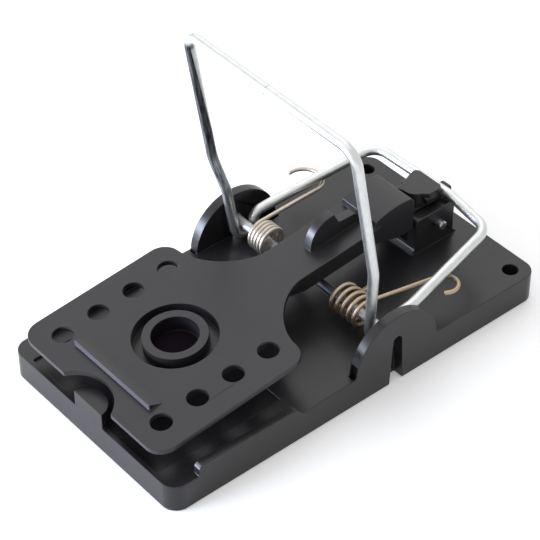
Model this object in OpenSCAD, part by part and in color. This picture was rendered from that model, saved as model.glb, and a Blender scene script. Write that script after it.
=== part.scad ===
// Snap mouse trap: moulded base, tilting trigger pedal with bait cup, and a
// closed wire bow driven by two torsion springs on one cross axle.
// Origin: centre of the base's underside. +X rear (latch end), -X front
// (pedal end), +Y left, +Z up. The trap is drawn set, with the bow upright.

/* [Base] */
// Length of the base
base_l = 92.4; // [84:0.1:100]
// Width of the base
base_w = 50; // [48:0.1:54]
// Plan radius of the base's corners
base_corner_r = 3.2; // [1:0.1:6]
// Height of the rear deck
deck_h = 6.6; // [6.2:0.1:7.2]
// Height of the front rim under the pedal
rim_h = 6.1; // [5.8:0.1:6.4]
// How far the front floor lies below its rim
floor_drop = 0.5; // [0.2:0.1:0.8]
// Thickness of the moulded walls
wall = 2; // [1.4:0.1:2.2]
// Thickness of the deck over the hollow underside
skin = 2.4; // [1.6:0.1:2.8]
// Thickness of the stiffening ribs underneath
rib_t = 1.4; // [1:0.1:2]
// Height of the side rails over the front rim
rail_h = 2.5; // [1:0.1:3]
// Thickness of the side rails
rail_t = 1.7; // [1.2:0.1:1.9]

/* [Ears and axle] */
// Distance of the axle from the base's centre
axle_x = 8; // [6:0.1:10]
// Height of the axle
axle_z = 10.35; // [10.2:0.05:11]
// Diameter of the axle rod
axle_d = 2; // [1.8:0.05:2.2]
// Thickness of the ears
ear_t = 2.2; // [1.8:0.1:2.3]
// Radius of the ears' round top
ear_r = 10.35; // [9.5:0.05:11]
// Height of the ears
ear_h = 16.6; // [16:0.1:18]
// Width of the axle slot at the underside
slot_mouth_w = 3.3; // [3:0.1:4]
// Play of the axle in its slot
axle_play = 0.2; // [0.05:0.05:0.3]

/* [Screw holes] */
// Diameter of the two screw holes
screw_d = 3.2; // [2.5:0.1:3.6]
// Distance between the screw holes
screw_pitch = 42.4; // [40:0.1:43]
// Distance of the screw holes from the rear edge
screw_inset = 4.1; // [3.6:0.1:5]

/* [Latch tower] */
// Distance of the pedal's pivot from the base's centre
pivot_x = 36.8; // [36:0.1:37.4]
// Height of the pedal's pivot
pivot_z = 11.8; // [11.4:0.1:12]
// Diameter of the pivot pin
pivot_d = 2; // [1.6:0.1:2.2]
// Width over the two cheeks
tower_w = 11; // [10.4:0.1:12]
// Length of the cheeks
tower_l = 10.6; // [10:0.1:11]
// Height of the cheeks' top
tower_h = 14.9; // [14.4:0.1:15.1]
// Height of the stop post behind the bow
stop_h = 15.4; // [14:0.1:16.2]
// Thickness of the stop post
stop_t = 1.8; // [1.4:0.1:2.6]
// Width of the stop post
stop_w = 2.2; // [1.6:0.1:3]

/* [Trigger pedal] */
// Width of the pedal plate
pedal_w = 42.6; // [40:0.1:42.8]
// Length of the pedal plate, up to its rear corners
pedal_l = 35.4; // [32:0.1:37]
// Thickness of the pedal plate
pedal_t = 1.2; // [1:0.1:1.5]
// Height of the pedal's front edge
pedal_front_z = 12.3; // [12.1:0.05:12.6]
// Rise of the pedal towards the rear
pedal_tilt = 5.5; // [5:0.1:5.8]
// Radius of the pedal's corners
pedal_corner_r = 3.8; // [2:0.1:5]
// Width of the neck
neck_w = 10.7; // [9:0.1:11]
// Thickness of the neck
neck_t = 3.8; // [2.5:0.1:4]
// Length of the curved flare between plate and neck
flare_l = 11.7; // [9:0.1:13]
// Diameter of the grip holes
grip_d = 4.2; // [3:0.1:5]
// Distance between the grip holes in a row
grip_pitch = 8.4; // [6:0.1:9]
// Distance between the two rows of grip holes
grip_rows = 30.1; // [28:0.1:32]
// Distance of the first grip holes from the pedal's front edge
grip_inset = 5.6; // [5:0.1:6.5]
// Distance of the wedge from the pedal's front edge
wedge_inset = 5.7; // [5.2:0.1:6.4]
// Height of the wedge that the bow strikes
wedge_h = 1.15; // [0.6:0.05:1.2]
// Width of the wedge
wedge_w = 22.9; // [16:0.1:24]
// Length of the wedge
wedge_l = 2.9; // [2:0.1:3.5]
// Width of the raised block at the lever's rear
block_w = 10; // [8:0.1:10.8]
// Height of the raised block's crown
block_z = 21.4; // [20.6:0.1:22]
// Height of the upright fin on the neck
fin_z = 23.5; // [22:0.1:24]
// Thickness of the fin
fin_t = 2; // [1.2:0.1:3]
// Width of the catch
catch_w = 5.4; // [4.6:0.1:5.4]
// Width of the cap on the catch
catch_cap_w = 7.7; // [6.4:0.1:8]
// Thickness of the cap on the catch
catch_cap_t = 1.1; // [0.8:0.1:1.4]
// Height of the catch's top
catch_z = 18.5; // [18.3:0.1:19.5]
// How far the catch's lip reaches over the bow
catch_grip = 0.45; // [0.2:0.05:0.6]

/* [Bait cup] */
// Distance of the cup's centre from the pedal's front edge
cup_inset = 20.7; // [20:0.1:21.5]
// Outside diameter of the cup
cup_d = 12.8; // [11:0.1:13.5]
// Diameter of the cup's bowl
cup_bore_d = 9.2; // [7:0.1:10]
// Depth of the cup's bowl
bowl_depth = 3.6; // [2:0.1:3.7]
// Diameter of the well round the cup
well_d = 16.7; // [15:0.1:18]
// Depth of the well
well_depth = 2.4; // [1.8:0.1:2.8]

/* [Strike bow] */
// Diameter of the bow's wire
bow_d = 2.1; // [1.8:0.05:2.2]
// Reach of the striking arms from the axle
strike_l = 49; // [46:0.1:50]
// Width of the striking end, between the wires' centres
strike_w = 48.4; // [47.8:0.1:49]
// Lean of the striking arms from the rearward level
strike_angle = 98.5; // [95:0.1:101]
// How much further the right striking arm leans
strike_twist = 1.6; // [0:0.1:2]
// Reach of the latch loop from the axle
latch_l = 32.8; // [32.4:0.1:33.2]
// Rise of the latch loop from the level
latch_angle = 7.5; // [7:0.1:8.5]

/* [Springs] */
// Diameter of the spring wire
spring_d = 0.85; // [0.6:0.05:0.85]
// Mean radius of the coils
coil_r = 2.9; // [2.6:0.05:2.95]
// Turns of the left coil
left_turns = 4.5; // [2.5:1:4.5]
// Turns of the right coil
right_turns = 4.5; // [2.5:1:5.5]
// Length of the left coil
left_coil_l = 5.8; // [5.7:0.1:6]
// Length of the right coil
right_coil_l = 7.2; // [7:0.1:7.8]

/* [Hidden] */
$fn = 48;
eps = 0.02;
run_gap = 0.05;      // radial play of a turning fit
seat_gap = 0.15;     // air between pieces that only rest on each other
side_gap = 0.3;      // air beside a moving piece

front_x = -base_l / 2;
rear_x = base_l / 2;
side_y = base_w / 2;
ear_in_y = side_y - ear_t;                // inner face of the left ear
floor_h = rim_h - floor_drop;
ramp_x0 = front_x + 30.2;
ramp_x1 = ramp_x0 + 5;
bow_r = bow_d / 2;
bow_off = bow_r + axle_d / 2 + run_gap;   // bow wire's centre to axle's centre
seat_r = (axle_d + axle_play) / 2;

// ---- helpers -------------------------------------------------------------
function unit(v) = v / norm(v);
function arc(c, r, a0, a1, n = 10) =
    [for (i = [0 : n]) c + r * [cos(a0 + (a1 - a0) * i / n), sin(a0 + (a1 - a0) * i / n)]];
function mirrored(half) = [for (i = [len(half) - 1 : -1 : 0]) [half[i][0], -half[i][1]]];

module plate(outline, z0, z1) {
    translate([0, 0, z0])
        linear_extrude(z1 - z0)
            polygon(outline);
}

// An XZ profile, extruded to the given width about the plane Y = 0
module slab(profile, width) {
    rotate([90, 0, 0])
        linear_extrude(width, center = true)
            polygon(profile);
}

module cross_rod(x, z, r, y0, y1) {
    translate([x, y0, z])
        rotate([-90, 0, 0])
            cylinder(r = r, h = y1 - y0);
}

module rounded_box(x0, x1, y0, y1, z0, z1, r) {
    translate([0, 0, z0])
        linear_extrude(z1 - z0) {
            translate([x0 + r, y0])
                square([x1 - x0 - 2 * r, y1 - y0]);
            translate([x0, y0 + r])
                square([x1 - x0, y1 - y0 - 2 * r]);
            for (x = [x0 + r, x1 - r], y = [y0 + r, y1 - r])
                translate([x, y])
                    circle(r);
        }
}

function tangent(p, i) = unit(p[min(i + 1, len(p) - 1)] - p[max(i - 1, 0)]);
function flat_to(n, t) = unit(n - (n * t) * t);
function carried(p, i, n, done) =
    i == len(p) ? done
    : let (m = flat_to(n, tangent(p, i))) carried(p, i + 1, m, concat(done, [m]));

// One unbroken tube of flat-sided rings, each ring's first corner carried from the last
module wire_tube(p, r, sides) {
    n = carried(p, 0, [0, 0, 1], []);
    rings = [for (i = [0 : len(p) - 1]) let (t = tangent(p, i), b = cross(t, n[i]))
        for (k = [0 : sides - 1])
            p[i] + r * (cos(360 * k / sides) * n[i] + sin(360 * k / sides) * b)];
    last = (len(p) - 1) * sides;
    walls = [for (i = [0 : len(p) - 2], k = [0 : sides - 1])
        let (a = i * sides + k, b = i * sides + (k + 1) % sides)
        each [[a, a + sides, b], [b, a + sides, b + sides]]];
    caps = [for (k = [1 : sides - 2]) each [[0, k, k + 1], [last, last + k + 1, last + k]]];
    polyhedron(rings, concat(walls, caps));
}

// ---- base ------------------------------------------------------------------
pad_w = 8.5;                       // width of the thumb post at the front
pad_r = pad_w / 2;
pad_h = 9.8;
pad_x = front_x - 0.35;            // centre of its round back
rail_x0 = front_x + 6.2;
rail_x1 = front_x + 31.2;
inner_w = base_w - 11.6;           // width of the lowered floor
front_lip = 1.1;                   // rim left standing at the front edge
ear_z = ear_h - ear_r;             // height of the ear arc's centre
window = [2.8, 2.4];               // small openings through the deck behind the ears' feet
window_x = axle_x + 7.2;
window_y = ear_in_y - 1.35;
foot_pocket = [1.2, 1.4, 3.8];     // recess in the foot of each ear's front edge
screw_x = rear_x - screw_inset;
boss_r = screw_d / 2 + 1.7;
cross_ribs = [-28, -10, 0, 20];

module deck_body() {
    difference() {
        union() {
            rounded_box(front_x, rear_x, -side_y, side_y, 0, rim_h, base_corner_r);
            intersection() {
                rounded_box(front_x, rear_x, -side_y, side_y, 0, deck_h, base_corner_r);
                slab([[ramp_x0, 0], [ramp_x0, rim_h], [ramp_x1, deck_h], [rear_x, deck_h],
                      [rear_x, 0]], base_w);
            }
        }
        translate([front_x + front_lip, -inner_w / 2, floor_h])
            cube([ramp_x0 - front_x - front_lip, inner_w, deck_h]);
    }
}

// Hollow underside: one pocket, crossed by ribs, with a boss round each screw hole
module underside_hollow() {
    difference() {
        rounded_box(front_x + wall, rear_x - wall, -side_y + wall + ear_t, side_y - wall - ear_t,
                    -1, floor_h - skin, 1);
        for (x = cross_ribs)
            translate([x - rib_t / 2, -side_y, -2])
                cube([rib_t, base_w, deck_h]);
        for (y = [-12, 0, 12])
            translate([front_x, y - rib_t / 2, -2])
                cube([base_l, rib_t, deck_h]);
        for (side = [-1, 1])
            translate([screw_x, side * screw_pitch / 2, -2])
                cylinder(r = boss_r, h = deck_h);
    }
}

module side_rail(side) {
    translate([0, side * (side_y - rail_t / 2), 0])
        slab([[rail_x0, rim_h - 1], [rail_x0, rim_h + rail_h - 0.8], [rail_x0 + 0.8, rim_h + rail_h],
              [rail_x1 - 2, rim_h + rail_h - 0.6], [rail_x1, rim_h]], rail_t);
}

module ear(side) {
    translate([0, side * (side_y - ear_t / 2), 0])
        intersection() {
            cross_rod(axle_x, ear_z, ear_r, -ear_t / 2, ear_t / 2);
            translate([axle_x - ear_r, -ear_t, deck_h - 2])
                cube([2 * ear_r, 2 * ear_t, ear_h]);
        }
}

// The slot is open at the underside and ends in a round seat above the axle
module axle_slot() {
    cross_rod(axle_x, axle_z, seat_r, -side_y - 1, side_y + 1);
    for (side = [-1, 1])
        translate([0, side * (side_y - ear_t / 2), 0])
            slab([[axle_x - slot_mouth_w / 2, -1], [axle_x - seat_r, axle_z],
                  [axle_x + seat_r, axle_z], [axle_x + slot_mouth_w / 2, -1]], ear_t + 2 * eps);
}

tower_x0 = pivot_x - 6;
tower_x1 = tower_x0 + tower_l;
tower_slot_z = pivot_z - 3.6;      // floor of the slot between the cheeks
tongue_w = catch_w + 0.3;
cheek_gap = tongue_w / 2 + side_gap;
cheek_step_x = pivot_x + 0.6;      // the cheeks rise behind this to just under the bow
stop_x0 = tower_x1 + 1;
stop_y = -0.6;
stop_r = stop_t / 2;

module latch_tower() {
    under_bar = bar[2] - bow_r - side_gap;
    difference() {
        slab([[tower_x0 - 1, deck_h], [tower_x0, deck_h + 1],
              each arc([tower_x0 + 1, tower_h - 1], 1, 180, 90, 6),
              [cheek_step_x, tower_h], [cheek_step_x + 0.6, under_bar],
              each arc([tower_x1 - 1, under_bar - 1], 1, 90, 0, 6),
              [tower_x1, deck_h + 1], [tower_x1 + 1, deck_h],
              [tower_x1 + 1, deck_h - 2], [tower_x0 - 1, deck_h - 2]], tower_w);
        translate([tower_x0 - 2, -cheek_gap, tower_slot_z])
            cube([tower_l + 4, 2 * cheek_gap, tower_h + stop_h]);
        cross_rod(pivot_x, pivot_z, pivot_d / 2 + 0.02, -tower_w, tower_w);
    }
}

module stop_post() {
    translate([0, stop_y, 0])
        slab([[tower_x1, deck_h - 1], [tower_x1, deck_h + 1.5], [stop_x0, deck_h + 3],
              each arc([stop_x0 + stop_r, stop_h - stop_r], stop_r, 180, 0, 10),
              [stop_x0 + stop_t, deck_h - 1]], stop_w);
}

module thumb_post() {
    intersection() {
        translate([pad_x, 0, rim_h - 2])
            cylinder(r = pad_r, h = pad_h - rim_h + 2);
        translate([front_x, -pad_w, 0])
            cube([pad_w, 2 * pad_w, pad_h]);
    }
}

module base() {
    color([0.24, 0.25, 0.27])
        difference() {
            union() {
                difference() {
                    deck_body();
                    underside_hollow();
                }
                for (side = [-1, 1]) {
                    side_rail(side);
                    ear(side);
                }
                latch_tower();
                stop_post();
                thumb_post();
            }
            axle_slot();
            for (side = [-1, 1]) {
                translate([screw_x, side * screw_pitch / 2, -1])
                    cylinder(r = screw_d / 2, h = deck_h + 2);
                translate([window_x, side > 0 ? window_y : -window_y - window[1], -1])
                    cube([window[0], window[1], deck_h + 2]);
                translate([axle_x - ear_r - 0.4, side * (side_y - ear_t / 2) - foot_pocket[1] / 2,
                           deck_h - 1.4])
                    cube(foot_pocket);
            }
        }
}

// ---- trigger pedal ---------------------------------------------------------
tilt_cos = cos(pedal_tilt);
function pedal_top(x) = pedal_front_z + (x - front_x) * tan(pedal_tilt);
function along(x) = (x - front_x) / tilt_cos;   // distance from the front edge on the slope

plate_rear = pedal_l;                            // on the slope
flare_y = pedal_w / 2 - pedal_corner_r;
flare_x = plate_rear + flare_l;
flare_power = 1.7;                               // superellipse that blends plate into neck
notch_r = 8.3;
notch_depth = 4.2;
plate_rib_y = 12;                                // the two ribs under the plate
plate_rib_h = 2.4;
block_x0 = axle_x + 12.3;
block_x1 = tower_x0 - side_gap;
block_crown_x = 27;
well_r = well_d / 2;

half_plate = concat(
    arc([pedal_corner_r, flare_y], pedal_corner_r, 180, 90),
    arc([plate_rear - pedal_corner_r, flare_y], pedal_corner_r, 90, 0),
    [for (t = [6 : 6 : 90]) [flare_x - flare_l * pow(cos(t), 2 / flare_power),
                             flare_y - (flare_y - neck_w / 2) * pow(sin(t), 2 / flare_power)]],
    [[along(block_x0 + 0.4), neck_w / 2]]);

module pedal_frame() {
    translate([front_x, 0, pedal_front_z])
        rotate([0, -pedal_tilt, 0])
            children();
}

module pedal_plate() {
    pedal_frame()
        difference() {
            union() {
                plate(concat(half_plate, mirrored(half_plate)), -pedal_t, 0);
                translate([cup_inset, 0, -well_depth - pedal_t])
                    cylinder(r = well_r + pedal_t, h = well_depth + pedal_t);
                slab([[wedge_inset, -0.3], [wedge_inset, wedge_h], [wedge_inset + wedge_l, -0.05],
                      [wedge_inset + wedge_l, -0.3]], wedge_w);
                for (side = [-1, 1])
                    translate([0, side * plate_rib_y, 0])
                        slab([[notch_r, -0.5], [notch_r + 2, -plate_rib_h],
                              [plate_rear - 4, -plate_rib_h], [plate_rear - 1, -0.5]], rib_t);
            }
            translate([-notch_r + notch_depth, 0, -5])
                cylinder(r = notch_r, h = 10);
            for (side = [-1, 1], i = [0 : 3])
                translate([grip_inset + i * grip_pitch, side * grip_rows / 2, -5])
                    cylinder(r = grip_d / 2, h = 10);
            translate([cup_inset, 0, -well_depth])
                cylinder(r = well_r, h = 10);
            translate([cup_inset, 0, -10])
                cylinder(r = spigot_r + seat_gap / 3, h = 20);
        }
}

// Neck and block share one side profile: sloped top, step, crowned block
function block_top(x) = block_z - (block_z - 20.1) * pow((x - block_crown_x) / (block_crown_x - block_x0), 2);

module neck() {
    x0 = axle_x - 14;
    slab([[x0, pedal_top(x0) - 0.1], [block_x0 + 1, pedal_top(block_x0 + 1) - 0.1],
          [block_x0 + 1, pedal_top(block_x0) - neck_t], [axle_x - 6, pedal_top(axle_x - 6) - neck_t],
          [x0, pedal_top(x0) - pedal_t]], neck_w);
}

module block() {
    crown = [for (i = [0 : 8]) let (x = block_x0 + (block_x1 - 0.8 - block_x0) * i / 8) [x, block_top(x)]];
    slab(concat([[block_x0, pedal_top(block_x0) - neck_t]], crown,
                [[block_x1, block_top(block_x1) - 0.9], [block_x1, pivot_z + 1.2],
                 [block_x0 + 6, pivot_z + 1.2]]), block_w);
}

// Quarter-round front, a vee and a flat tail that runs into the block
fin_x0 = axle_x - 1;
fin_r = 5.4;
fin_front_turn = 96;               // angle of the rounded front
fin_vee_x = fin_x0 + 7.2;          // bottom of the vee
fin_vee_h = 2.5;                   // depth of the vee under the fin's top
fin_tail_l = 2.6;
module fin() {
    slab(concat([[fin_x0, pedal_top(fin_x0) - 1]],
                arc([fin_x0 + fin_r, fin_z - fin_r], fin_r, 180, 180 - fin_front_turn, 8),
                [[fin_vee_x, fin_z - fin_vee_h + 0.1], [fin_vee_x + 1.5, fin_z - fin_vee_h],
                 [fin_vee_x + 1.5 + fin_tail_l, fin_z - fin_vee_h],
                 [fin_vee_x + 2 * fin_tail_l, fin_z - fin_vee_h - 0.9],
                 [block_x0 + 1, pedal_top(block_x0)]]), fin_t);
}

latch_dir = [cos(latch_angle), sin(latch_angle)];
latch_normal = [-latch_dir[1], latch_dir[0]];
function latch_point(s, y) =
    let (q = [axle_x, axle_z] + bow_off * latch_normal + s * latch_dir) [q[0], y, q[1]];
kink_y = -5.1;                     // the bar's one shallow kink, right of the catch
bar_skew = 0.45;                   // the bar's left end lies this much nearer than the kink
latch_left_y = ear_in_y - 6.4;     // wire's centre at the loop's two corners
latch_right_y = -ear_in_y + 5.5;
function bar_s(y) = latch_l - bar_skew * (y - kink_y) / (latch_left_y - kink_y);
bar = latch_point(bar_s(0), 0);    // centre of the wire under the catch
lip_x = bar[0] - bow_r + catch_grip;
catch_r = catch_w / 2;
pivot_boss_r = 2.9;

// Thumb cap: a pointed front left corner, rounded rear corners, and a slanted right front
cap_r = 1.2;
cap_y = catch_cap_w / 2;
cap_tip = [pivot_x - 4.7, 1.8];
catch_cap = concat(
    [cap_tip, cap_tip + [1.6, 0.4]],
    arc([lip_x - cap_r, cap_y - cap_r], cap_r, 110, 0, 6),
    arc([lip_x - cap_r, cap_r - cap_y], cap_r, 0, -90, 6),
    [[pivot_x - 1, -cap_y], [pivot_x - 2.2, 1.2 - cap_y], [pivot_x - 3.1, cap_tip[1] - 2.7],
     cap_tip + [0.5, -1.3]]);

module catch() {
    difference() {
        union() {
            plate(catch_cap, catch_z - catch_cap_t, catch_z);
            translate([pivot_x - 1.5, 0, pivot_z])
                cylinder(r = catch_r, h = catch_z - pivot_z);
            translate([pivot_x - 1.5, -catch_r, pivot_z])
                cube([lip_x - pivot_x + 1.5, catch_w, catch_z - pivot_z]);
            cross_rod(pivot_x, pivot_z, pivot_boss_r, -tongue_w / 2, tongue_w / 2);
            slab([[block_x1 - 1, pivot_z + 1.2], [block_x1 - 1, tower_h], [lip_x - 1, tower_h],
                  [lip_x - 1, pivot_z - 1], [pivot_x - 1, pivot_z - 1]], tongue_w);
        }
        cross_rod(bar[0], bar[2], bow_r + seat_gap, -tower_w, tower_w);
        translate([lip_x - 0.9, -tower_w / 2, tower_slot_z])
            cube([tower_l, tower_w, bar[2] - tower_slot_z]);
        cross_rod(pivot_x, pivot_z, pivot_d / 2 + run_gap, -tower_w, tower_w);
    }
}

module trigger_pedal() {
    color([0.27, 0.28, 0.30]) {
        pedal_plate();
        neck();
        block();
        fin();
        catch();
    }
}

// ---- bait cup --------------------------------------------------------------
spigot_r = cup_bore_d / 2 + 0.9;
cup_rise = 0.3;                    // rim over the pedal's top
cup_floor = 0.8;
cup_depth = bowl_depth + cup_floor - cup_rise;   // underside below the pedal's top
module bait_cup() {
    color([0.30, 0.31, 0.33])
        pedal_frame()
            translate([cup_inset, 0, 0])
                difference() {
                    union() {
                        translate([0, 0, -well_depth])
                            cylinder(r = cup_d / 2, h = well_depth + cup_rise);
                        translate([0, 0, -cup_depth])
                            cylinder(r = spigot_r, h = cup_depth);
                    }
                    translate([0, 0, cup_rise - bowl_depth])
                        cylinder(r = cup_bore_d / 2, h = cup_depth);
                }
}

// ---- strike bow --------------------------------------------------------------
pass_y = ear_in_y - side_gap - bow_r;     // wire's centre where it passes the ears
left_hook_y = pass_y - 0.45;       // where each arm hooks under the axle
right_hook_y = -pass_y + 2.55;
left_latch_y = pass_y - 1.5;       // where each latch arm starts
right_latch_y = -pass_y;
left_pass_s = 10.6;                // the left arm is clear of its ear from here
right_pass_s = 10;                 // the right arm slants past its ear
left_knee_s = 17.5;                // the knees, where the arms turn upright
right_knee_s = 19.3;
left_knee_in = 0.7;
strike_mid_y = 0.8;
left_bar_y = strike_mid_y + strike_w / 2;
right_bar_y = strike_mid_y - strike_w / 2;
strike_skew = 1.5;                 // the right arm reaches this much further
latch_start_s = 7;                 // the right latch arm bends in from here
latch_right_pull = 1.7;            // the right corner of the loop lies this much nearer
butt_gap = 0.2;
bow_sides = 14;

function strike_point(a, s, y) =
    [axle_x - bow_off * sin(a) + s * cos(a), y, axle_z + bow_off * cos(a) + s * sin(a)];
function under_front(a, y) = strike_point(a, -bow_off * (1 + cos(a)) / sin(a), y);
function under_rear(y) = [axle_x + bow_off, y, axle_z - bow_off];
function over_rear(y) = latch_point(bow_off * (1 + latch_dir[1]) / latch_dir[0], y);

right_angle = strike_angle + strike_twist;
left_corner = strike_point(strike_angle, strike_l, left_bar_y);
right_corner = strike_point(right_angle, strike_l + strike_skew, right_bar_y);
bar_mid = (left_corner + right_corner) / 2;
bar_dir = unit(left_corner - right_corner);

bow_path = [
    bar_mid + bar_dir * butt_gap / 2,
    left_corner,
    strike_point(strike_angle, left_knee_s, left_bar_y - left_knee_in),
    strike_point(strike_angle, left_pass_s, pass_y),
    under_front(strike_angle, left_hook_y),
    under_rear(left_latch_y),
    over_rear(left_latch_y),
    latch_point(bar_s(latch_left_y), latch_left_y),
    latch_point(latch_l, kink_y),
    latch_point(latch_l - latch_right_pull, latch_right_y),
    latch_point(latch_start_s, right_latch_y),
    over_rear(right_latch_y),
    under_rear(right_latch_y),
    under_front(right_angle, right_hook_y),
    strike_point(right_angle, right_pass_s, -pass_y),
    strike_point(right_angle, right_knee_s, right_bar_y),
    right_corner,
    bar_mid - bar_dir * butt_gap / 2];
bow_bends = [0, 3.5, 8, 6, bow_off, bow_off, 2, 4, 6, 4, 8, 2, bow_off, bow_off, 0, 8, 3.5, 0];

// Centreline of a wire bent at each corner to its own radius, in steps of bend_step degrees
bend_step = 12;
function bend_points(p0, p1, p2, r) =
    let (u = unit(p1 - p0),
         w = unit(p2 - p1),
         turn = acos(u * w),
         centre = p1 + unit(w - u) * r / cos(turn / 2),
         x = unit(p1 - u * r * tan(turn / 2) - centre),
         n = ceil(turn / bend_step))
    [for (k = [0 : n]) centre + r * (cos(turn * k / n) * x + sin(turn * k / n) * u)];
function bent_path(p, bend) =
    [for (i = [0 : len(p) - 1])
        each (bend[i] == 0 ? [p[i]] : bend_points(p[i - 1], p[i], p[i + 1], bend[i]))];

module strike_bow() {
    color([0.78, 0.79, 0.80])
        wire_tube(bent_path(bow_path, bow_bends), bow_r, bow_sides);
}

// ---- axle and pin --------------------------------------------------------------
axle_inset = 1.5;                  // each end lies this deep in its ear's slot
module axle_rod() {
    color([0.66, 0.67, 0.69])
        cross_rod(axle_x, axle_z, axle_d / 2, -side_y + axle_inset, side_y - axle_inset);
}

pin_proud = 0.3;
module pivot_pin() {
    color([0.72, 0.73, 0.75])
        cross_rod(pivot_x, pivot_z, pivot_d / 2, -tower_w / 2 - pin_proud, tower_w / 2 + pin_proud);
}

// ---- springs -------------------------------------------------------------------
rings_per_turn = 8;
spring_sides = 6;
left_coil_y = ear_in_y - 6.4;      // outer end of each coil
right_coil_y = -ear_in_y + 6.8;
coil_z = axle_z + 0.8;             // the rod lies low in the coils
left_hook_r = 3.85;
right_hook_r = 2.55;
left_hook_turn = 180;
right_hook_turn = 210;
hook_x = axle_x + 15.8;            // centre of both hooks
left_cross_s = 19;                 // where the hooks pass under the latch arms
right_cross_s = 17.9;
foot_l = 9.5;                      // length of the legs that bear on the deck
foot_in = 1.5;
spring_r = spring_d / 2;
foot_z = deck_h + spring_r + seat_gap / 2;

function under_latch_z(s) = latch_point(s, 0)[2] - bow_r - seat_gap - spring_r;

// From the foot on the deck, round the coil and out along the leg to its hook
function spring_path(coil_y, coil_l, turns, leg_y, hook_r, hook_turn, hook_z) =
    let (side = sign(coil_y),
         inner_y = coil_y - side * coil_l,
         foot_y = inner_y - side * foot_in,
         n = turns * rings_per_turn,
         m = hook_turn / 30,
         hook = [for (i = [0 : m]) let (a = -90 + 30 * i)
             [hook_x + hook_r * cos(a), leg_y + side * hook_r * (1 + sin(a)), hook_z]])
    concat(
        [[axle_x + foot_l, foot_y, foot_z], [axle_x + foot_l - 2 * spring_d, foot_y, foot_z]],
        [for (i = [0 : n]) let (a = -90 - 360 * i / rings_per_turn)
            [axle_x + coil_r * cos(a), inner_y + side * coil_l * i / n, coil_z + coil_r * sin(a)]],
        hook,
        [hook[m] + 1.5 * spring_d * [cos(hook_turn), side * sin(hook_turn), 0]]);

left_path = spring_path(left_coil_y, left_coil_l, left_turns, ear_in_y - 6.2, left_hook_r,
                        left_hook_turn, under_latch_z(left_cross_s));
right_path = spring_path(right_coil_y, right_coil_l, right_turns, -ear_in_y + 4.2, right_hook_r,
                         right_hook_turn, under_latch_z(right_cross_s));

module left_spring() {
    color([0.62, 0.54, 0.42])
        wire_tube(left_path, spring_r, spring_sides);
}

module right_spring() {
    color([0.62, 0.54, 0.42])
        wire_tube(right_path, spring_r, spring_sides);
}

// Least gap of each spring to itself, between points more than half a turn apart
function self_gap(p) = min([for (i = [0 : len(p) - 1], j = [i + rings_per_turn / 2 : 1 : len(p) - 1])
    norm(p[i] - p[j])]) - spring_d;
echo("least gap of the left spring to itself, mm", self_gap(left_path));
echo("least gap of the right spring to itself, mm", self_gap(right_path));

base();
trigger_pedal();
bait_cup();
strike_bow();
axle_rod();
left_spring();
right_spring();
pivot_pin();
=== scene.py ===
# Looks of the snap mouse trap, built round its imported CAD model.
# Shapes are written in millimetres, and MM turns them into the frame's metres.
import math

import bmesh
import bpy
from mathutils import Matrix, Vector


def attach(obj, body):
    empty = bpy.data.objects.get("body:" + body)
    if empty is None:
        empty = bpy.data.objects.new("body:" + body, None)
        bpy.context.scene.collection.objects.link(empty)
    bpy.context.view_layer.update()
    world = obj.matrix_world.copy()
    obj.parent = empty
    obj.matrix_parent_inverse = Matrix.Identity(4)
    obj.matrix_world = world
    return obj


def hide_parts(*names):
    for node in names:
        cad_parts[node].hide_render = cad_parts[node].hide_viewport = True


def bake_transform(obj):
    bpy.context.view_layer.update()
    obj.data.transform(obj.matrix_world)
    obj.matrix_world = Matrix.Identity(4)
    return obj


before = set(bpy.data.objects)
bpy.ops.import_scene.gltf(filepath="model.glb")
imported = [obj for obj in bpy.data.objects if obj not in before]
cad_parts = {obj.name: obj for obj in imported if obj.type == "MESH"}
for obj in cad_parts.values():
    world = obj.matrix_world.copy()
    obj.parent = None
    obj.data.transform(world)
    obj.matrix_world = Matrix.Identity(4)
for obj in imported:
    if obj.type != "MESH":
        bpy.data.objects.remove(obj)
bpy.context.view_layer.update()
MM = 0.001


# ---------------------------------------------------------------- shared shape of the wires
AXLE_X, AXLE_Z, AXLE_D = 8.0, 10.35, 2.0
BOW_D = 2.1
BOW_GAP = 0.05                 # between the bow's wire and the axle that it passes round
BOW_OFF = BOW_D / 2 + AXLE_D / 2 + BOW_GAP
# the striking end: its angle and the right arm's twist in degrees, its length and the right's more
STRIKE_ANGLE, STRIKE_TWIST, STRIKE_L, STRIKE_SKEW = 98.5, 1.6, 49.0, 1.5
BAR_MID_Y, HALF_BAR = 0.8, 24.2
LEFT_BAR_Y, RIGHT_BAR_Y = BAR_MID_Y + HALF_BAR, BAR_MID_Y - HALF_BAR
# the latch end: its angle, its length, how much nearer its corners lie, and the bar's corners on Y
LATCH_ANGLE, LATCH_L, LEFT_SKEW, RIGHT_SKEW = 7.5, 32.8, 0.45, 1.7
LATCH_LEFT_Y, KINK_Y, LATCH_RIGHT_Y = 16.4, -5.1, -17.3
PASS_Y = 21.45                 # the wire's centre where it passes the ears
# where the arms bend, along each from the axle
LEFT_KNEE, LEFT_ANKLE, RIGHT_KNEE, LATCH_KNEE = 17.5, 10.6, 19.3, 7
# how far the wire lies inside its bar's end or the line past the ears
LEFT_KNEE_IN, LEFT_FRONT_IN, LEFT_REAR_IN, RIGHT_FRONT_IN = 0.7, 0.45, 1.5, 2.55


def arm_point(angle, s, y):
    """On the bow's centreline, s from the axle along an arm that rises at this angle."""
    a = math.radians(angle)
    return Vector((AXLE_X - BOW_OFF * math.sin(a) + s * math.cos(a), y,
                   AXLE_Z + BOW_OFF * math.cos(a) + s * math.sin(a)))


def under_front(angle, y):
    """The corner in front of and under the axle, where a striking arm begins."""
    a = math.radians(angle)
    return arm_point(angle, -BOW_OFF * (1 + math.cos(a)) / math.sin(a), y)


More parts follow.
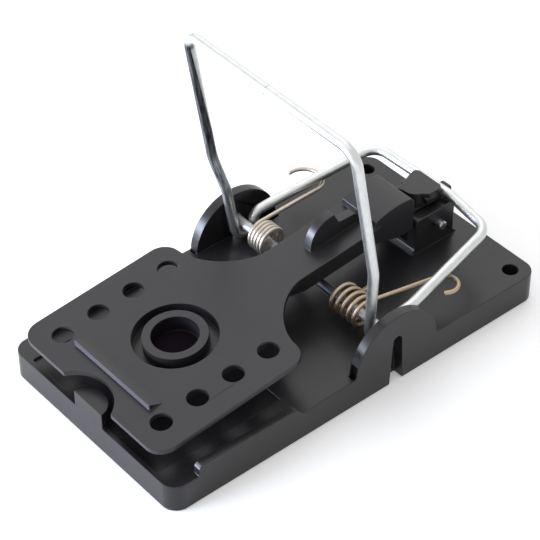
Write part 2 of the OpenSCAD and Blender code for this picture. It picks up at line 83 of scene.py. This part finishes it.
def under_rear(y):
    """The corner behind and under the axle."""
    return Vector((AXLE_X + BOW_OFF, y, AXLE_Z - BOW_OFF))


def latch_point(s, y):
    """On the centreline of the bow's latch end, s from the axle."""
    return arm_point(LATCH_ANGLE, s, y)


def over_rear(y):
    """The corner behind and above the axle, where a latch arm begins."""
    a = math.radians(LATCH_ANGLE)
    return latch_point(BOW_OFF * (1 + math.sin(a)) / math.cos(a), y)


def bent(points, bends, step=6):
    """Centreline of a wire bent at each corner to its own radius."""
    out = []
    for i, p1 in enumerate(points):
        r = bends[i]
        if r == 0:
            out.append(p1)
            continue
        u = (p1 - points[i - 1]).normalized()
        w = (points[i + 1] - p1).normalized()
        turn = math.acos(max(-1, min(1, u.dot(w))))
        centre = p1 + (w - u).normalized() * r / math.cos(turn / 2)
        x = (p1 - u * r * math.tan(turn / 2) - centre).normalized()
        n = max(2, math.ceil(math.degrees(turn) / step))
        out += [centre + r * (math.cos(turn * k / n) * x + math.sin(turn * k / n) * u)
                for k in range(n + 1)]
    return out


NO_STEP = 0.0001               # points of a wire closer than this are one


def link(name, data):
    """A new object of the scene that holds this mesh, lamp or camera."""
    obj = bpy.data.objects.new(name, data)
    bpy.context.scene.collection.objects.link(obj)
    return obj


def made(name, bm, sharp_angle):
    """The object of a finished bmesh, whose edges over sharp_angle degrees shade as sharp."""
    mesh = bpy.data.meshes.new(name)
    bm.to_mesh(mesh)
    bm.free()
    mesh.set_sharp_from_angle(angle=math.radians(sharp_angle))
    return link(name, mesh)


def tube(name, points, radius, sides, chamfer=0.12):
    """One closed wire along points, with U round it and V along it in millimetres."""
    pts = [points[0]]
    for p in points[1:]:
        if (p - pts[-1]).length > NO_STEP:
            pts.append(p)
    tangents = [(pts[min(i + 1, len(pts) - 1)] - pts[max(i - 1, 0)]).normalized()
                for i in range(len(pts))]
    normal = tangents[0].orthogonal().normalized()
    rings = []
    run = 0.0
    for i, (p, t) in enumerate(zip(pts, tangents)):
        if i:
            run += (p - pts[i - 1]).length
        normal = (normal - t * normal.dot(t)).normalized()
        rings.append((p, normal.copy(), t.cross(normal), run, radius))
    # both ends are cut square, with a small chamfer
    for end, sign in ((0, 1), (-1, -1)):
        p, n, b, v, _ = rings[end]
        shoulder = (p + tangents[end] * sign * chamfer, n, b, v + sign * chamfer, radius)
        rings.insert(1 if end == 0 else len(rings) - 1, shoulder)
        rings[end] = (p, n, b, v, radius - chamfer)
    bm = bmesh.new()
    uv = bm.loops.layers.uv.new("wire")
    loops = []
    for p, n, b, _, r in rings:
        loops.append([bm.verts.new((p + r * (math.cos(math.tau * k / sides) * n
                                             + math.sin(math.tau * k / sides) * b)) * MM)
                      for k in range(sides)])
    for i in range(len(loops) - 1):
        for k in range(sides):
            k1 = (k + 1) % sides
            f = bm.faces.new((loops[i][k], loops[i][k1], loops[i + 1][k1], loops[i + 1][k]))
            f.smooth = True
            for loop, (u, v) in zip(f.loops, ((k, rings[i][3]), (k + 1, rings[i][3]),
                                              (k + 1, rings[i + 1][3]), (k, rings[i + 1][3]))):
                loop[uv].uv = (u / sides, v)
    bm.faces.new(list(reversed(loops[0])))
    bm.faces.new(loops[-1])
    bm.normal_update()
    return made(name, bm, sharp_angle=38)


# ---------------------------------------------------------------- moulded and turned pieces
WELD = 0.002 * MM              # points closer than this become one
FLAT = 0.6                     # degrees within which faces count as one plane
LEVEL = 0.06 * MM              # height within which a face counts as lying at crowded_z
UPRIGHT = 0.99                 # the least of Z in the normal of a face that counts as level
SHORT = 0.03 * MM              # an edge shorter than this stays as it is


def moulded(name, node, width, crowded_z, angle=28, segments=2):
    """The CAD node's own shape with every edge over angle degrees rounded, as a mould leaves it."""
    bm = bmesh.new()
    bm.from_mesh(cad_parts[node].data)
    bmesh.ops.remove_doubles(bm, verts=bm.verts, dist=WELD)
    bmesh.ops.dissolve_degenerate(bm, edges=bm.edges, dist=WELD)
    bmesh.ops.dissolve_limit(bm, angle_limit=math.radians(FLAT), verts=bm.verts, edges=bm.edges)
    # a level face round pockets or a post is cut up first, or its fill would cross them
    crowded = [f for f in bm.faces if len(f.verts) > 4 and abs(f.normal.z) > UPRIGHT
               and abs(f.calc_center_median().z - crowded_z * MM) < LEVEL]
    bmesh.ops.triangulate(bm, faces=crowded)
    bm.normal_update()
    sharp = [e for e in bm.edges if len(e.link_faces) == 2
             and e.calc_face_angle(0) > math.radians(angle) and e.calc_length() > SHORT]
    bmesh.ops.bevel(bm, geom=sharp, offset=width * MM, offset_type="OFFSET", segments=segments,
                    profile=0.5, affect="EDGES", clamp_overlap=False, miter_outer="ARC",
                    loop_slide=True)
    bmesh.ops.remove_doubles(bm, verts=bm.verts, dist=WELD / 2)
    bm.normal_update()
    verts = [v.co.copy() for v in bm.verts]
    bm.verts.index_update()
    faces = [[v.index for v in f.verts] for f in bm.faces]
    bm.free()
    mesh = bpy.data.meshes.new(name)
    mesh.from_pydata(verts, [], faces)
    mesh.shade_smooth()
    mesh.set_sharp_from_angle(angle=math.radians(40))
    obj = link(name, mesh)
    weighted = obj.modifiers.new("even_shading", "WEIGHTED_NORMAL")
    weighted.keep_sharp = True
    weighted.weight = 80
    return obj


def turned(name, x, z, profile, sides=40):
    """A pin turned about a line along Y; profile holds pairs of y and radius."""
    bm = bmesh.new()
    rings = [[bm.verts.new(Vector((x + r * math.cos(math.tau * k / sides), y,
                                   z + r * math.sin(math.tau * k / sides))) * MM)
              for k in range(sides)] for y, r in profile]
    for a, b in zip(rings, rings[1:]):
        for k in range(sides):
            k1 = (k + 1) % sides
            bm.faces.new((a[k], a[k1], b[k1], b[k])).smooth = True
    bm.faces.new(list(reversed(rings[0])))
    bm.faces.new(rings[-1])
    bmesh.ops.recalc_face_normals(bm, faces=bm.faces)
    return made(name, bm, sharp_angle=32)


def prism(name, profile, y0, y1, bevel=0.12):
    """A profile of x and z, extruded from y0 to y1, with its edges rounded by bevel."""
    bm = bmesh.new()
    ends = [[bm.verts.new(Vector((x, y, z)) * MM) for x, z in profile] for y in (y0, y1)]
    count = len(profile)
    for k in range(count):
        k1 = (k + 1) % count
        bm.faces.new((ends[0][k], ends[0][k1], ends[1][k1], ends[1][k]))
    bm.faces.new(ends[0])
    bm.faces.new(ends[1])
    bmesh.ops.recalc_face_normals(bm, faces=bm.faces)
    if bevel:
        bmesh.ops.bevel(bm, geom=bm.edges[:], offset=bevel * MM, segments=2, profile=0.5,
                        affect="EDGES")
    for face in bm.faces:
        face.smooth = True
    return made(name, bm, sharp_angle=40)


# ---------------------------------------------------------------- materials
WHITE = (1.0, 1.0, 1.0)


def nodes_of(name):
    """A new material with its node tree and shader."""
    mat = bpy.data.materials.new(name)
    mat.use_nodes = True
    nt = mat.node_tree
    return mat, nt, nt.nodes["Principled BSDF"]


def node(nt, kind, **values):
    """A new node, with its inputs or settings of these names given these values."""
    n = nt.nodes.new(kind)
    for key, value in values.items():
        if key in n.inputs:
            n.inputs[key].default_value = value
        else:
            setattr(n, key, value)
    return n


def noise(nt, vector, scale, detail=3.0, rough=0.5, stretch=None):
    """Noise over the vector, drawn out by stretch where given."""
    if stretch:
        mapping = node(nt, "ShaderNodeMapping", Scale=stretch)
        nt.links.new(vector, mapping.inputs["Vector"])
        vector = mapping.outputs["Vector"]
    n = node(nt, "ShaderNodeTexNoise", Scale=scale, Detail=detail, Roughness=rough)
    nt.links.new(vector, n.inputs["Vector"])
    return n.outputs["Fac"]


def ramp(nt, fac, stops):
    """The value fac turned into greys or colours by (place, colour) stops."""
    n = node(nt, "ShaderNodeValToRGB")
    while len(n.color_ramp.elements) < len(stops):
        n.color_ramp.elements.new(0.5)
    for element, (at, colour) in zip(n.color_ramp.elements, stops):
        element.position = at
        element.color = (*colour, 1) if isinstance(colour, tuple) else (colour,) * 3 + (1,)
    nt.links.new(fac, n.inputs["Fac"])
    return n.outputs["Color"]


def mix(nt, fac, a, b, mode="MIX"):
    """Colour a turned towards b by fac. Each of the three is a value or an output."""
    n = node(nt, "ShaderNodeMix", data_type="RGBA", blend_type=mode)
    fac_socket, a_socket, b_socket = n.inputs[0], n.inputs[6], n.inputs[7]
    for socket, value in ((fac_socket, fac), (a_socket, a), (b_socket, b)):
        if isinstance(value, (int, float)):
            socket.default_value = value
        elif isinstance(value, tuple):
            socket.default_value = (*value, 1)
        else:
            nt.links.new(value, socket)
    colour_out = n.outputs[2]
    return colour_out


def place_on(nt):
    """The place on the object, in the frame's coordinates."""
    return node(nt, "ShaderNodeTexCoord").outputs["Object"]


def axes_of(nt, place):
    """The X, Y and Z of a place."""
    n = node(nt, "ShaderNodeSeparateXYZ")
    nt.links.new(place, n.inputs[0])
    return n.outputs


def band(nt, value, start, end):
    """0 before start and 1 after end, both in millimetres, with a soft step between them."""
    n = node(nt, "ShaderNodeMapRange", interpolation_type="SMOOTHSTEP")
    n.inputs["From Min"].default_value = start * MM
    n.inputs["From Max"].default_value = end * MM
    nt.links.new(value, n.inputs["Value"])
    return n.outputs["Result"]


def product(nt, first, *others):
    """All the masks multiplied."""
    for other in others:
        n = node(nt, "ShaderNodeMath", operation="MULTIPLY")
        nt.links.new(first, n.inputs[0])
        nt.links.new(other, n.inputs[1])
        first = n.outputs[0]
    return first


def bump(nt, height, strength, distance, normal=None):
    """A normal tilted by the height, of this depth in millimetres."""
    n = node(nt, "ShaderNodeBump", Strength=strength, Distance=distance * MM)
    nt.links.new(height, n.inputs["Height"])
    if normal is not None:
        nt.links.new(normal, n.inputs["Normal"])
    return n.outputs["Normal"]


PLASTIC_GLOSS = 0.4            # the shader's specular level
SCUFF_GAIN, SCUFF_LIFT = 1.9, 0.02   # how much paler a scuff is than the plastic


def moulded_plastic(name, low, high, painted_light_patch=None):
    """Dark polystyrene with a fine moulded grain, faint flow clouds and a few rubbed scuffs.

    patch holds a mask, and the colour and gloss painted there as light or shade. A gloss
    that is the same all over stays on the shader's own socket, so that the export keeps it."""
    mat, nt, shader = nodes_of(name)
    place = place_on(nt)
    clouds = noise(nt, place, scale=45, detail=4, rough=0.6)
    grain = noise(nt, place, scale=3800, detail=2, rough=0.6)
    orange_peel = noise(nt, place, scale=420, detail=3, rough=0.5)
    wear = noise(nt, place, scale=150, detail=5, rough=0.65)
    scuffs = noise(nt, place, scale=260, detail=6, rough=0.7, stretch=(1.0, 4.0, 1.0))
    colour = ramp(nt, clouds, [(0.3, low), (0.7, high)])
    rubbed = ramp(nt, scuffs, [(0.62, 0.0), (0.80, 0.16)])
    pale = tuple(c * SCUFF_GAIN + SCUFF_LIFT for c in high)
    colour = mix(nt, rubbed, colour, pale)
    shader.inputs["IOR"].default_value = 1.5
    shader.inputs["Specular IOR Level"].default_value = PLASTIC_GLOSS
    if painted_light_patch:
        mask, painted_light_colour, patch_gloss = painted_light_patch
        # the patch paints light or shade: its colour covers the plastic under its mask
        there = mask(nt, place)
        colour = mix(nt, there, colour, painted_light_colour)
        if patch_gloss != PLASTIC_GLOSS:
            nt.links.new(ramp(nt, there, [(0.0, PLASTIC_GLOSS), (1.0, patch_gloss)]),
                         shader.inputs["Specular IOR Level"])
    nt.links.new(colour, shader.inputs["Base Color"])
    nt.links.new(ramp(nt, wear, [(0.25, 0.28), (0.75, 0.38)]), shader.inputs["Roughness"])
    fine = bump(nt, grain, strength=0.22, distance=0.04)
    nt.links.new(bump(nt, orange_peel, strength=0.12, distance=0.1, normal=fine),
                 shader.inputs["Normal"])
    return mat


def plated_wire(name, pale, dark, mottle_and_shadow, rough, tint_and_shade):
    """Drawn wire: lengthwise die lines, a mottled coat and a stretch that the last argument colours
    anew.
    """
    mat, nt, shader = nodes_of(name)
    wire = node(nt, "ShaderNodeUVMap", uv_map="wire").outputs["UV"]
    place = place_on(nt)
    lines = noise(nt, wire, scale=9, detail=3, rough=0.6, stretch=(2.2, 0.05, 1.0))
    spots = noise(nt, place, scale=900, detail=5, rough=0.7)
    colour = ramp(nt, lines, [(0.25, dark), (0.62, pale)])
    colour = mix(nt, ramp(nt, spots, [(0.40, 0.0), (0.72, 0.55)]), colour, mottle_and_shadow)
    # the last argument recolours a stretch: painted shade on the left striking arm, a golden tint
    # on the right spring
    nt.links.new(tint_and_shade(nt, place, wire, colour), shader.inputs["Base Color"])
    shader.inputs["Metallic"].default_value = 1.0
    nt.links.new(ramp(nt, spots, [(0.3, rough[0]), (0.75, rough[1])]), shader.inputs["Roughness"])
    nt.links.new(bump(nt, lines, strength=0.12, distance=0.03), shader.inputs["Normal"])
    return mat


# where the left striking arm is painted dark as shade: between each pair the painted shade fades in
SHADE_LEFT_Y = (19.5, 21.2)
SHADE_FOOT_Z = (12, 24)
SHADE_FRONT_X = (9.5, 7.5)
SHADE_TOP_Z = (57.2, 55.6)
# higher up the painted shade keeps off the side that ACROSS points to, from the edge below on
HALF_SHADE_Z = (30, 34)
ACROSS = (1, -1, 0.2244)
LIT_SIDE_EDGE = (-12.83, -13.03)
DEEP_SHADE_Z = (20, 40)             # the painted shade's streaks darken between these heights


def painted_shade_left_arm(nt, place, wire, colour):
    """Painted shade on the left striking arm: dark, with pale streaks along the wire."""
    axes = axes_of(nt, place)
    left = band(nt, axes["Y"], *SHADE_LEFT_Y)
    high = band(nt, axes["Z"], *SHADE_FOOT_Z)
    front = band(nt, axes["X"], *SHADE_FRONT_X)
    low_enough = band(nt, axes["Z"], *SHADE_TOP_Z)
    across = node(nt, "ShaderNodeVectorMath", operation="DOT_PRODUCT")
    nt.links.new(place, across.inputs[0])
    across.inputs[1].default_value = ACROSS
    shaded_side = band(nt, across.outputs["Value"], *LIT_SIDE_EDGE)
    shade_reach = mix(nt, band(nt, axes["Z"], *HALF_SHADE_Z), WHITE, shaded_side)
    dark = product(nt, left, high, front, low_enough, shade_reach)
    lines = noise(nt, wire, scale=9, detail=4, rough=0.65, stretch=(1.9, 0.02, 1.0))
    # the painted shade: near black higher up, greyer lower down
    upper = ramp(nt, lines, [(0.38, (0.018, 0.019, 0.024)), (0.64, (0.17, 0.175, 0.19))])
    lower = ramp(nt, lines, [(0.40, (0.05, 0.055, 0.07)), (0.60, (0.46, 0.48, 0.50))])
    shade_streaks = mix(nt, band(nt, axes["Z"], *DEEP_SHADE_Z), lower, upper)
    return mix(nt, dark, colour, shade_streaks)


GOLD_TINT = (0.80, 0.72, 0.60)
GOLD_FROM_Y = (2, -2)


def golden_right(nt, place, _wire, colour):
    """The right spring's wire is darker and more golden than the left one's."""
    on_right = band(nt, axes_of(nt, place)["Y"], *GOLD_FROM_Y)
    golden = mix(nt, 1.0, colour, GOLD_TINT, "MULTIPLY")
    return mix(nt, on_right, colour, golden)


CUP_X = -25.6
BOWL_R = (4.72, 4.55)          # the bowl's edge, from outside to inside
WEDGE_FACE_X = (-40.40, -40.50)
WEDGE_FOOT_Z = (12.90, 12.98)


def painted_shade_in_bowl(nt, place):
    """1 inside the bait cup's bowl, which little light reaches and is painted dark as shade, 0
    elsewhere.
    """
    axes = axes_of(nt, place)
    flat = node(nt, "ShaderNodeCombineXYZ")
    nt.links.new(axes["X"], flat.inputs["X"])
    nt.links.new(axes["Y"], flat.inputs["Y"])
    gap = node(nt, "ShaderNodeVectorMath", operation="DISTANCE")
    nt.links.new(flat.outputs[0], gap.inputs[0])
    gap.inputs[1].default_value = (CUP_X * MM, 0, 0)
    return band(nt, gap.outputs["Value"], *BOWL_R)


def painted_light_on_wedge(nt, place):
    """1 on the wedge's front face, which is painted paler as the front light falls on it, 0
    elsewhere.
    """
    axes = axes_of(nt, place)
    return product(nt, band(nt, axes["X"], *WEDGE_FACE_X), band(nt, axes["Z"], *WEDGE_FOOT_Z))


# colour of the painted shadow that the pedal's neck casts on the axle
AXLE_PAINTED_SHADOW = (0.10, 0.10, 0.11)
PAINTED_SHADOW_FADE = 2                  # length over which the painted shadow fades in


def plain_steel(name, pale, dark, rough, mottle_and_shadow=None):
    """Turned or drawn rod with fine rings round it, and a painted shadow between two places on Y.
    """
    mat, nt, shader = nodes_of(name)
    place = place_on(nt)
    rings = noise(nt, place, scale=500, detail=3, rough=0.6, stretch=(1.0, 14.0, 1.0))
    spots = noise(nt, place, scale=1100, detail=4, rough=0.7)
    colour = ramp(nt, rings, [(0.3, dark), (0.7, pale)])
    colour = mix(nt, ramp(nt, spots, [(0.45, 0.0), (0.8, 0.5)]), colour, dark)
    if mottle_and_shadow:
        # a painted shadow, where the pedal's neck shades the rod
        right_end, left_end = mottle_and_shadow
        y = axes_of(nt, place)["Y"]
        stretch = product(nt, band(nt, y, right_end, right_end + PAINTED_SHADOW_FADE),
                          band(nt, y, left_end, left_end - PAINTED_SHADOW_FADE))
        colour = mix(nt, stretch, colour, AXLE_PAINTED_SHADOW)
    nt.links.new(colour, shader.inputs["Base Color"])
    shader.inputs["Metallic"].default_value = 1.0
    nt.links.new(ramp(nt, spots, [(0.3, rough[0]), (0.8, rough[1])]), shader.inputs["Roughness"])
    nt.links.new(bump(nt, rings, strength=0.2, distance=0.03), shader.inputs["Normal"])
    return mat


WEDGE_PAINTED_LIGHT, BOWL_PAINTED_SHADE = (0.083, 0.080, 0.090), (0.012, 0.0085, 0.012)
base_plastic = moulded_plastic("base_moulded_plastic",
                               low=(0.0078, 0.0068, 0.0080), high=(0.0115, 0.0103, 0.0117))
# the wedge's front face is painted pale as a highlight
pedal_plastic = moulded_plastic("pedal_moulded_plastic",
                                low=(0.0115, 0.0108, 0.0122), high=(0.0165, 0.0156, 0.0172),
                                painted_light_patch=(painted_light_on_wedge, WEDGE_PAINTED_LIGHT, PLASTIC_GLOSS))
# the cup's bowl is painted near black as shade
cup_plastic = moulded_plastic("cup_moulded_plastic",
                              low=(0.0125, 0.0118, 0.0134), high=(0.018, 0.0172, 0.0188),
                              painted_light_patch=(painted_shade_in_bowl, BOWL_PAINTED_SHADE, 0.0))
# the bow's left striking arm carries painted shade
bow_metal = plated_wire("plated_bow_wire", pale=(0.66, 0.67, 0.65), dark=(0.50, 0.52, 0.52),
                        mottle_and_shadow=(0.58, 0.60, 0.59), rough=(0.34, 0.44), tint_and_shade=painted_shade_left_arm)
spring_metal = plated_wire("tempered_spring_wire", pale=(0.55, 0.495, 0.42),
                           dark=(0.40, 0.35, 0.29), mottle_and_shadow=(0.47, 0.415, 0.365),
                           rough=(0.40, 0.52), tint_and_shade=golden_right)
# the axle has a painted shadow of the pedal's neck across its middle
axle_metal = plain_steel("drawn_axle_rod", pale=(0.66, 0.66, 0.67), dark=(0.48, 0.48, 0.49),
                         rough=(0.46, 0.60), mottle_and_shadow=(-14, 6))
pin_metal = plain_steel("turned_pivot_pin", pale=(0.50, 0.51, 0.53), dark=(0.24, 0.245, 0.26),
                        rough=(0.22, 0.40))


# ---------------------------------------------------------------- the pieces
def dress(obj, material, slot_name, *replaced):
    """Give the object its material, and hide the CAD nodes given in replaced. slot_name is not
    used.
    """
    obj.data.materials.clear()
    obj.data.materials.append(material)
    if replaced:
        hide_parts(*replaced)
    return obj


base_shell = moulded("base_shell", "base", width=0.22, crowded_z=0)
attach(base_shell, "base")
dress(base_shell, base_plastic, "base_plastic", "base")

# the foot of the left ear's front edge is whole, level with the edge above it
EAR_R, EAR_Z = 10.35, 6.25
FOOT_PROUD = 0.02              # the foot's edge stands this far ahead of the ear's
FOOT_ANGLE, FOOT_STEP = 18, 3  # degrees that the foot reaches up round the ear
FOOT_BACK_X = -1.3
FOOT_Y = (22.9, 24.88)
foot_edge = [(AXLE_X - (EAR_R + FOOT_PROUD) * math.cos(math.radians(a)),
              EAR_Z + EAR_R * math.sin(math.radians(a)))
             for a in range(0, FOOT_ANGLE + 1, FOOT_STEP)]
foot_back = [(FOOT_BACK_X, foot_edge[-1][1]), (FOOT_BACK_X, EAR_Z)]
foot = prism("left_ear_foot", foot_edge + foot_back, *FOOT_Y, bevel=0)
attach(foot, "base")
dress(foot, base_plastic, "base_plastic")

pedal_shell = moulded("pedal_shell", "trigger_pedal", width=0.16, crowded_z=14.9)
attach(pedal_shell, "trigger")
dress(pedal_shell, pedal_plastic, "pedal_plastic", "trigger_pedal")

# the catch is as broad as its cap above the cheeks
SHOULDER_HALF_W = 3.75
shoulder_side = [(34.9, 17.5), (35.4, 15.75), (38.6, 15.72), (38.93, 16.2), (38.93, 17.5)]
shoulder = prism("catch_shoulders", shoulder_side, -SHOULDER_HALF_W, SHOULDER_HALF_W)
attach(shoulder, "trigger")
dress(shoulder, pedal_plastic, "pedal_plastic")

cup_shell = moulded("cup_shell", "bait_cup", width=0.16, crowded_z=0)
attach(cup_shell, "trigger")
dress(cup_shell, cup_plastic, "cup_plastic", "bait_cup")

# the strike bow, one closed wire whose ends meet in the middle of the striking bar
RIGHT_ANGLE = STRIKE_ANGLE + STRIKE_TWIST
left_corner = arm_point(STRIKE_ANGLE, STRIKE_L, LEFT_BAR_Y)
right_corner = arm_point(RIGHT_ANGLE, STRIKE_L + STRIKE_SKEW, RIGHT_BAR_Y)
bar_mid = (left_corner + right_corner) / 2
bar_dir = (left_corner - right_corner).normalized()
BUTT = 0.05                    # between the two ends
bow_points = [
    bar_mid + bar_dir * BUTT / 2,
    left_corner,
    arm_point(STRIKE_ANGLE, LEFT_KNEE, LEFT_BAR_Y - LEFT_KNEE_IN),
    arm_point(STRIKE_ANGLE, LEFT_ANKLE, PASS_Y),
    under_front(STRIKE_ANGLE, PASS_Y - LEFT_FRONT_IN),
    under_rear(PASS_Y - LEFT_REAR_IN),
    over_rear(PASS_Y - LEFT_REAR_IN),
    latch_point(LATCH_L - LEFT_SKEW, LATCH_LEFT_Y),
    latch_point(LATCH_L, KINK_Y),
    latch_point(LATCH_L - RIGHT_SKEW, LATCH_RIGHT_Y),
    latch_point(LATCH_KNEE, -PASS_Y),
    over_rear(-PASS_Y),
    under_rear(-PASS_Y),
    under_front(RIGHT_ANGLE, RIGHT_FRONT_IN - PASS_Y),
    arm_point(RIGHT_ANGLE, RIGHT_KNEE, RIGHT_BAR_Y),
    right_corner,
    bar_mid - bar_dir * BUTT / 2]
# the radius of each corner's bend, with the two ends left straight
bow_bends = [0, 3.5, 8, 6, BOW_OFF, BOW_OFF, 2, 4, 6, 4, 8, 2, BOW_OFF, BOW_OFF, 8, 3.5, 0]
bow_wire = tube("bow_wire", bent(bow_points, bow_bends), BOW_D / 2, sides=28, chamfer=BUTT)
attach(bow_wire, "bow")
dress(bow_wire, bow_metal, "bow_wire", "strike_bow")

AXLE_R, AXLE_END_Y, AXLE_CHAMFER = AXLE_D / 2, 23.5, 0.25
axle_profile = [(-AXLE_END_Y, AXLE_R - AXLE_CHAMFER), (AXLE_CHAMFER - AXLE_END_Y, AXLE_R),
                (AXLE_END_Y - AXLE_CHAMFER, AXLE_R), (AXLE_END_Y, AXLE_R - AXLE_CHAMFER)]
axle = turned("axle", AXLE_X, AXLE_Z, axle_profile)
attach(axle, "base")
dress(axle, axle_metal, "axle_steel", "axle_rod")

# the pin's right end stands out of the tower
PIN_X, PIN_Z, PIN_R = 36.8, 11.8, 1.0
PIN_RIGHT_Y, PIN_LEFT_Y = -7.3, 5.8
pin_profile = [(PIN_RIGHT_Y, 0.5), (PIN_RIGHT_Y + 0.05, 0.78), (PIN_RIGHT_Y + 0.35, PIN_R),
               (PIN_LEFT_Y - 0.3, PIN_R), (PIN_LEFT_Y - 0.08, 0.82), (PIN_LEFT_Y, 0.6)]
pin = turned("pin", PIN_X, PIN_Z, pin_profile)
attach(pin, "base")
dress(pin, pin_metal, "pin_steel", "pivot_pin")


# ---------------------------------------------------------------- springs
SPRING_D, COIL_R, COIL_Z = 0.87, 2.9, AXLE_Z + 0.8
HOOK_X = AXLE_X + 15.8
HOOK_GAP = 0.1                 # between the hook and the latch arm over it
DECK_Z = 6.64
LEG_X, LEG_OUT, LEG_L = AXLE_X + 9.5, 1.5, 1.7   # the short leg's end on the deck
HOOK_STEP = 10                 # degrees between the hook's points


def spring_points(side, coil_out, coil_l, turns, leg_y, hook_r, hook_turn, cross_s, per_turn=40):
    """Short leg on the deck, coil, long leg under the latch arm and the hook at its end.

    side is 1 on the left and -1 on the right, coil_out the coil's outer end on Y, hook_turn
    the hook's turn in degrees, and cross_s how far along the latch arm the hook crosses it."""
    inner = coil_out - side * coil_l
    hook_z = latch_point(cross_s, 0).z - BOW_D / 2 - HOOK_GAP - SPRING_D / 2
    leg_end = Vector((LEG_X, inner - side * LEG_OUT, DECK_Z + SPRING_D / 2))
    pts = [leg_end, leg_end - Vector((LEG_L, 0, 0))]
    n = int(turns * per_turn)
    for i in range(n + 1):
        a = math.radians(-90 - 360 * i / per_turn)
        pts.append(Vector((AXLE_X + COIL_R * math.cos(a), inner + side * coil_l * i / n,
                           COIL_Z + COIL_R * math.sin(a))))
    for i in range(round(hook_turn / HOOK_STEP) + 1):
        a = math.radians(-90 + HOOK_STEP * i)
        pts.append(Vector((HOOK_X + hook_r * math.cos(a),
                           leg_y + side * hook_r * (1 + math.sin(a)), hook_z)))
    a = math.radians(hook_turn)
    pts.append(pts[-1] + Vector((math.cos(a), side * math.sin(a), 0)) * SPRING_D)
    return pts


left_line = spring_points(side=1, coil_out=15.45, coil_l=3.95, turns=4.5, leg_y=16.6,
                          hook_r=3.85, hook_turn=180, cross_s=19)
left_coil = tube("left_coil", left_line, SPRING_D / 2, sides=14)
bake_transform(left_coil)
dress(left_coil, spring_metal, "spring_wire", "left_spring")
right_line = spring_points(side=-1, coil_out=-16, coil_l=7.2, turns=4.5, leg_y=-18.6,
                           hook_r=2.55, hook_turn=210, cross_s=17.9)
right_coil = tube("right_coil", right_line, SPRING_D / 2, sides=14)
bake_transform(right_coil)
dress(right_coil, spring_metal, "spring_wire", "right_spring")


# ---------------------------------------------------------------- floor, light and camera
def seen_directly(nt):
    """1 for a ray from the camera, a reflection or a see-through piece, 0 for diffuse light."""
    path = node(nt, "ShaderNodeLightPath")
    shown = path.outputs["Is Camera Ray"]
    for ray in ("Is Glossy Ray", "Is Transmission Ray"):
        either = node(nt, "ShaderNodeMath", operation="MAXIMUM")
        nt.links.new(shown, either.inputs[0])
        nt.links.new(path.outputs[ray], either.inputs[1])
        shown = either.outputs[0]
    return shown


FLOOR_LIFT = 0.2               # lifts the floor to white where it is seen directly


def floor_material():
    """A pale floor that keeps the trap's shadow."""
    mat, nt, shader = nodes_of("studio_floor")
    shader.inputs["Roughness"].default_value = 0.9
    lift = node(nt, "ShaderNodeMath", operation="MULTIPLY")
    nt.links.new(seen_directly(nt), lift.inputs[0])
    lift.inputs[1].default_value = FLOOR_LIFT
    nt.links.new(lift.outputs[0], shader.inputs["Emission Strength"])
    shader.inputs["Emission Color"].default_value = (*WHITE, 1)
    place = place_on(nt)
    cloudy = noise(nt, place, scale=6, detail=2)
    nt.links.new(ramp(nt, cloudy, [(0.3, 0.93), (0.7, 0.95)]), shader.inputs["Base Color"])
    return mat


REACH = 3.0                    # metres from the middle to the floor's sides
FLOOR_Z = -0.1 * MM            # just under the base, so that their faces don't meet
floor_mesh = bpy.data.meshes.new("studio_floor")
corners = [(-REACH, -REACH, 0), (REACH, -REACH, 0), (REACH, REACH, 0), (-REACH, REACH, 0)]
floor_mesh.from_pydata(corners, [], [(0, 1, 2, 3)])
floor = link("studio_floor", floor_mesh)
floor.location.z = FLOOR_Z
floor_mesh.materials.append(floor_material())

world = bpy.data.worlds.new("studio")
bpy.context.scene.world = world
world.use_nodes = True
sky = world.node_tree
background = sky.nodes["Background"]
background.inputs["Strength"].default_value = 1.0
ROOM_GREY = (0.66, 0.66, 0.67)
sky.links.new(mix(sky, seen_directly(sky), ROOM_GREY, WHITE), background.inputs["Color"])


def softbox(name, at, size, power, colour=WHITE):
    """An area lamp that faces the trap. Places and sizes are in metres, power in watts."""
    light = bpy.data.lights.new(name, "AREA")
    light.shape = "RECTANGLE"
    light.size, light.size_y = size
    light.energy = power
    light.color = colour
    obj = link(name, light)
    obj.location = at
    obj.rotation_mode = "QUATERNION"
    obj.rotation_quaternion = (Vector(LAMPS_FACE) - Vector(at)).to_track_quat("-Z", "Y")


LAMPS_FACE = (0, 0, 0.01)
DAYLIGHT = (0.74, 0.82, 1.0)
softbox("ceiling", at=(0.475, 0.56, 0.68), size=(0.95, 0.95), power=2.1)
softbox("overhead", at=(-0.05, 0.05, 1.0), size=(0.8, 0.8), power=1.4)
softbox("front_window", at=(-0.66, 0.36, 0.15), size=(0.6, 0.26), power=15.5, colour=DAYLIGHT)

# the camera's lens, its place in metres, its right and its up
LENS = 138.8
CAMERA_AT = Vector((-0.195277, -0.229968, 0.278158))
CAMERA_RIGHT = Vector((0.76471926, -0.64435767, -0.00276699))
CAMERA_UP = Vector((0.42416755, 0.50015732, 0.75493347))
camera_data = bpy.data.cameras.new("camera")
camera_data.lens = LENS
camera_data.sensor_width = 36
camera_data.clip_start, camera_data.clip_end = 0.01, 20
camera = link("camera", camera_data)
bpy.context.scene.camera = camera
turn = Matrix((CAMERA_RIGHT, CAMERA_UP, CAMERA_RIGHT.cross(CAMERA_UP))).transposed()
camera.matrix_world = Matrix.Translation(CAMERA_AT) @ turn.to_4x4()

bpy.context.scene.view_settings.view_transform = "Standard"
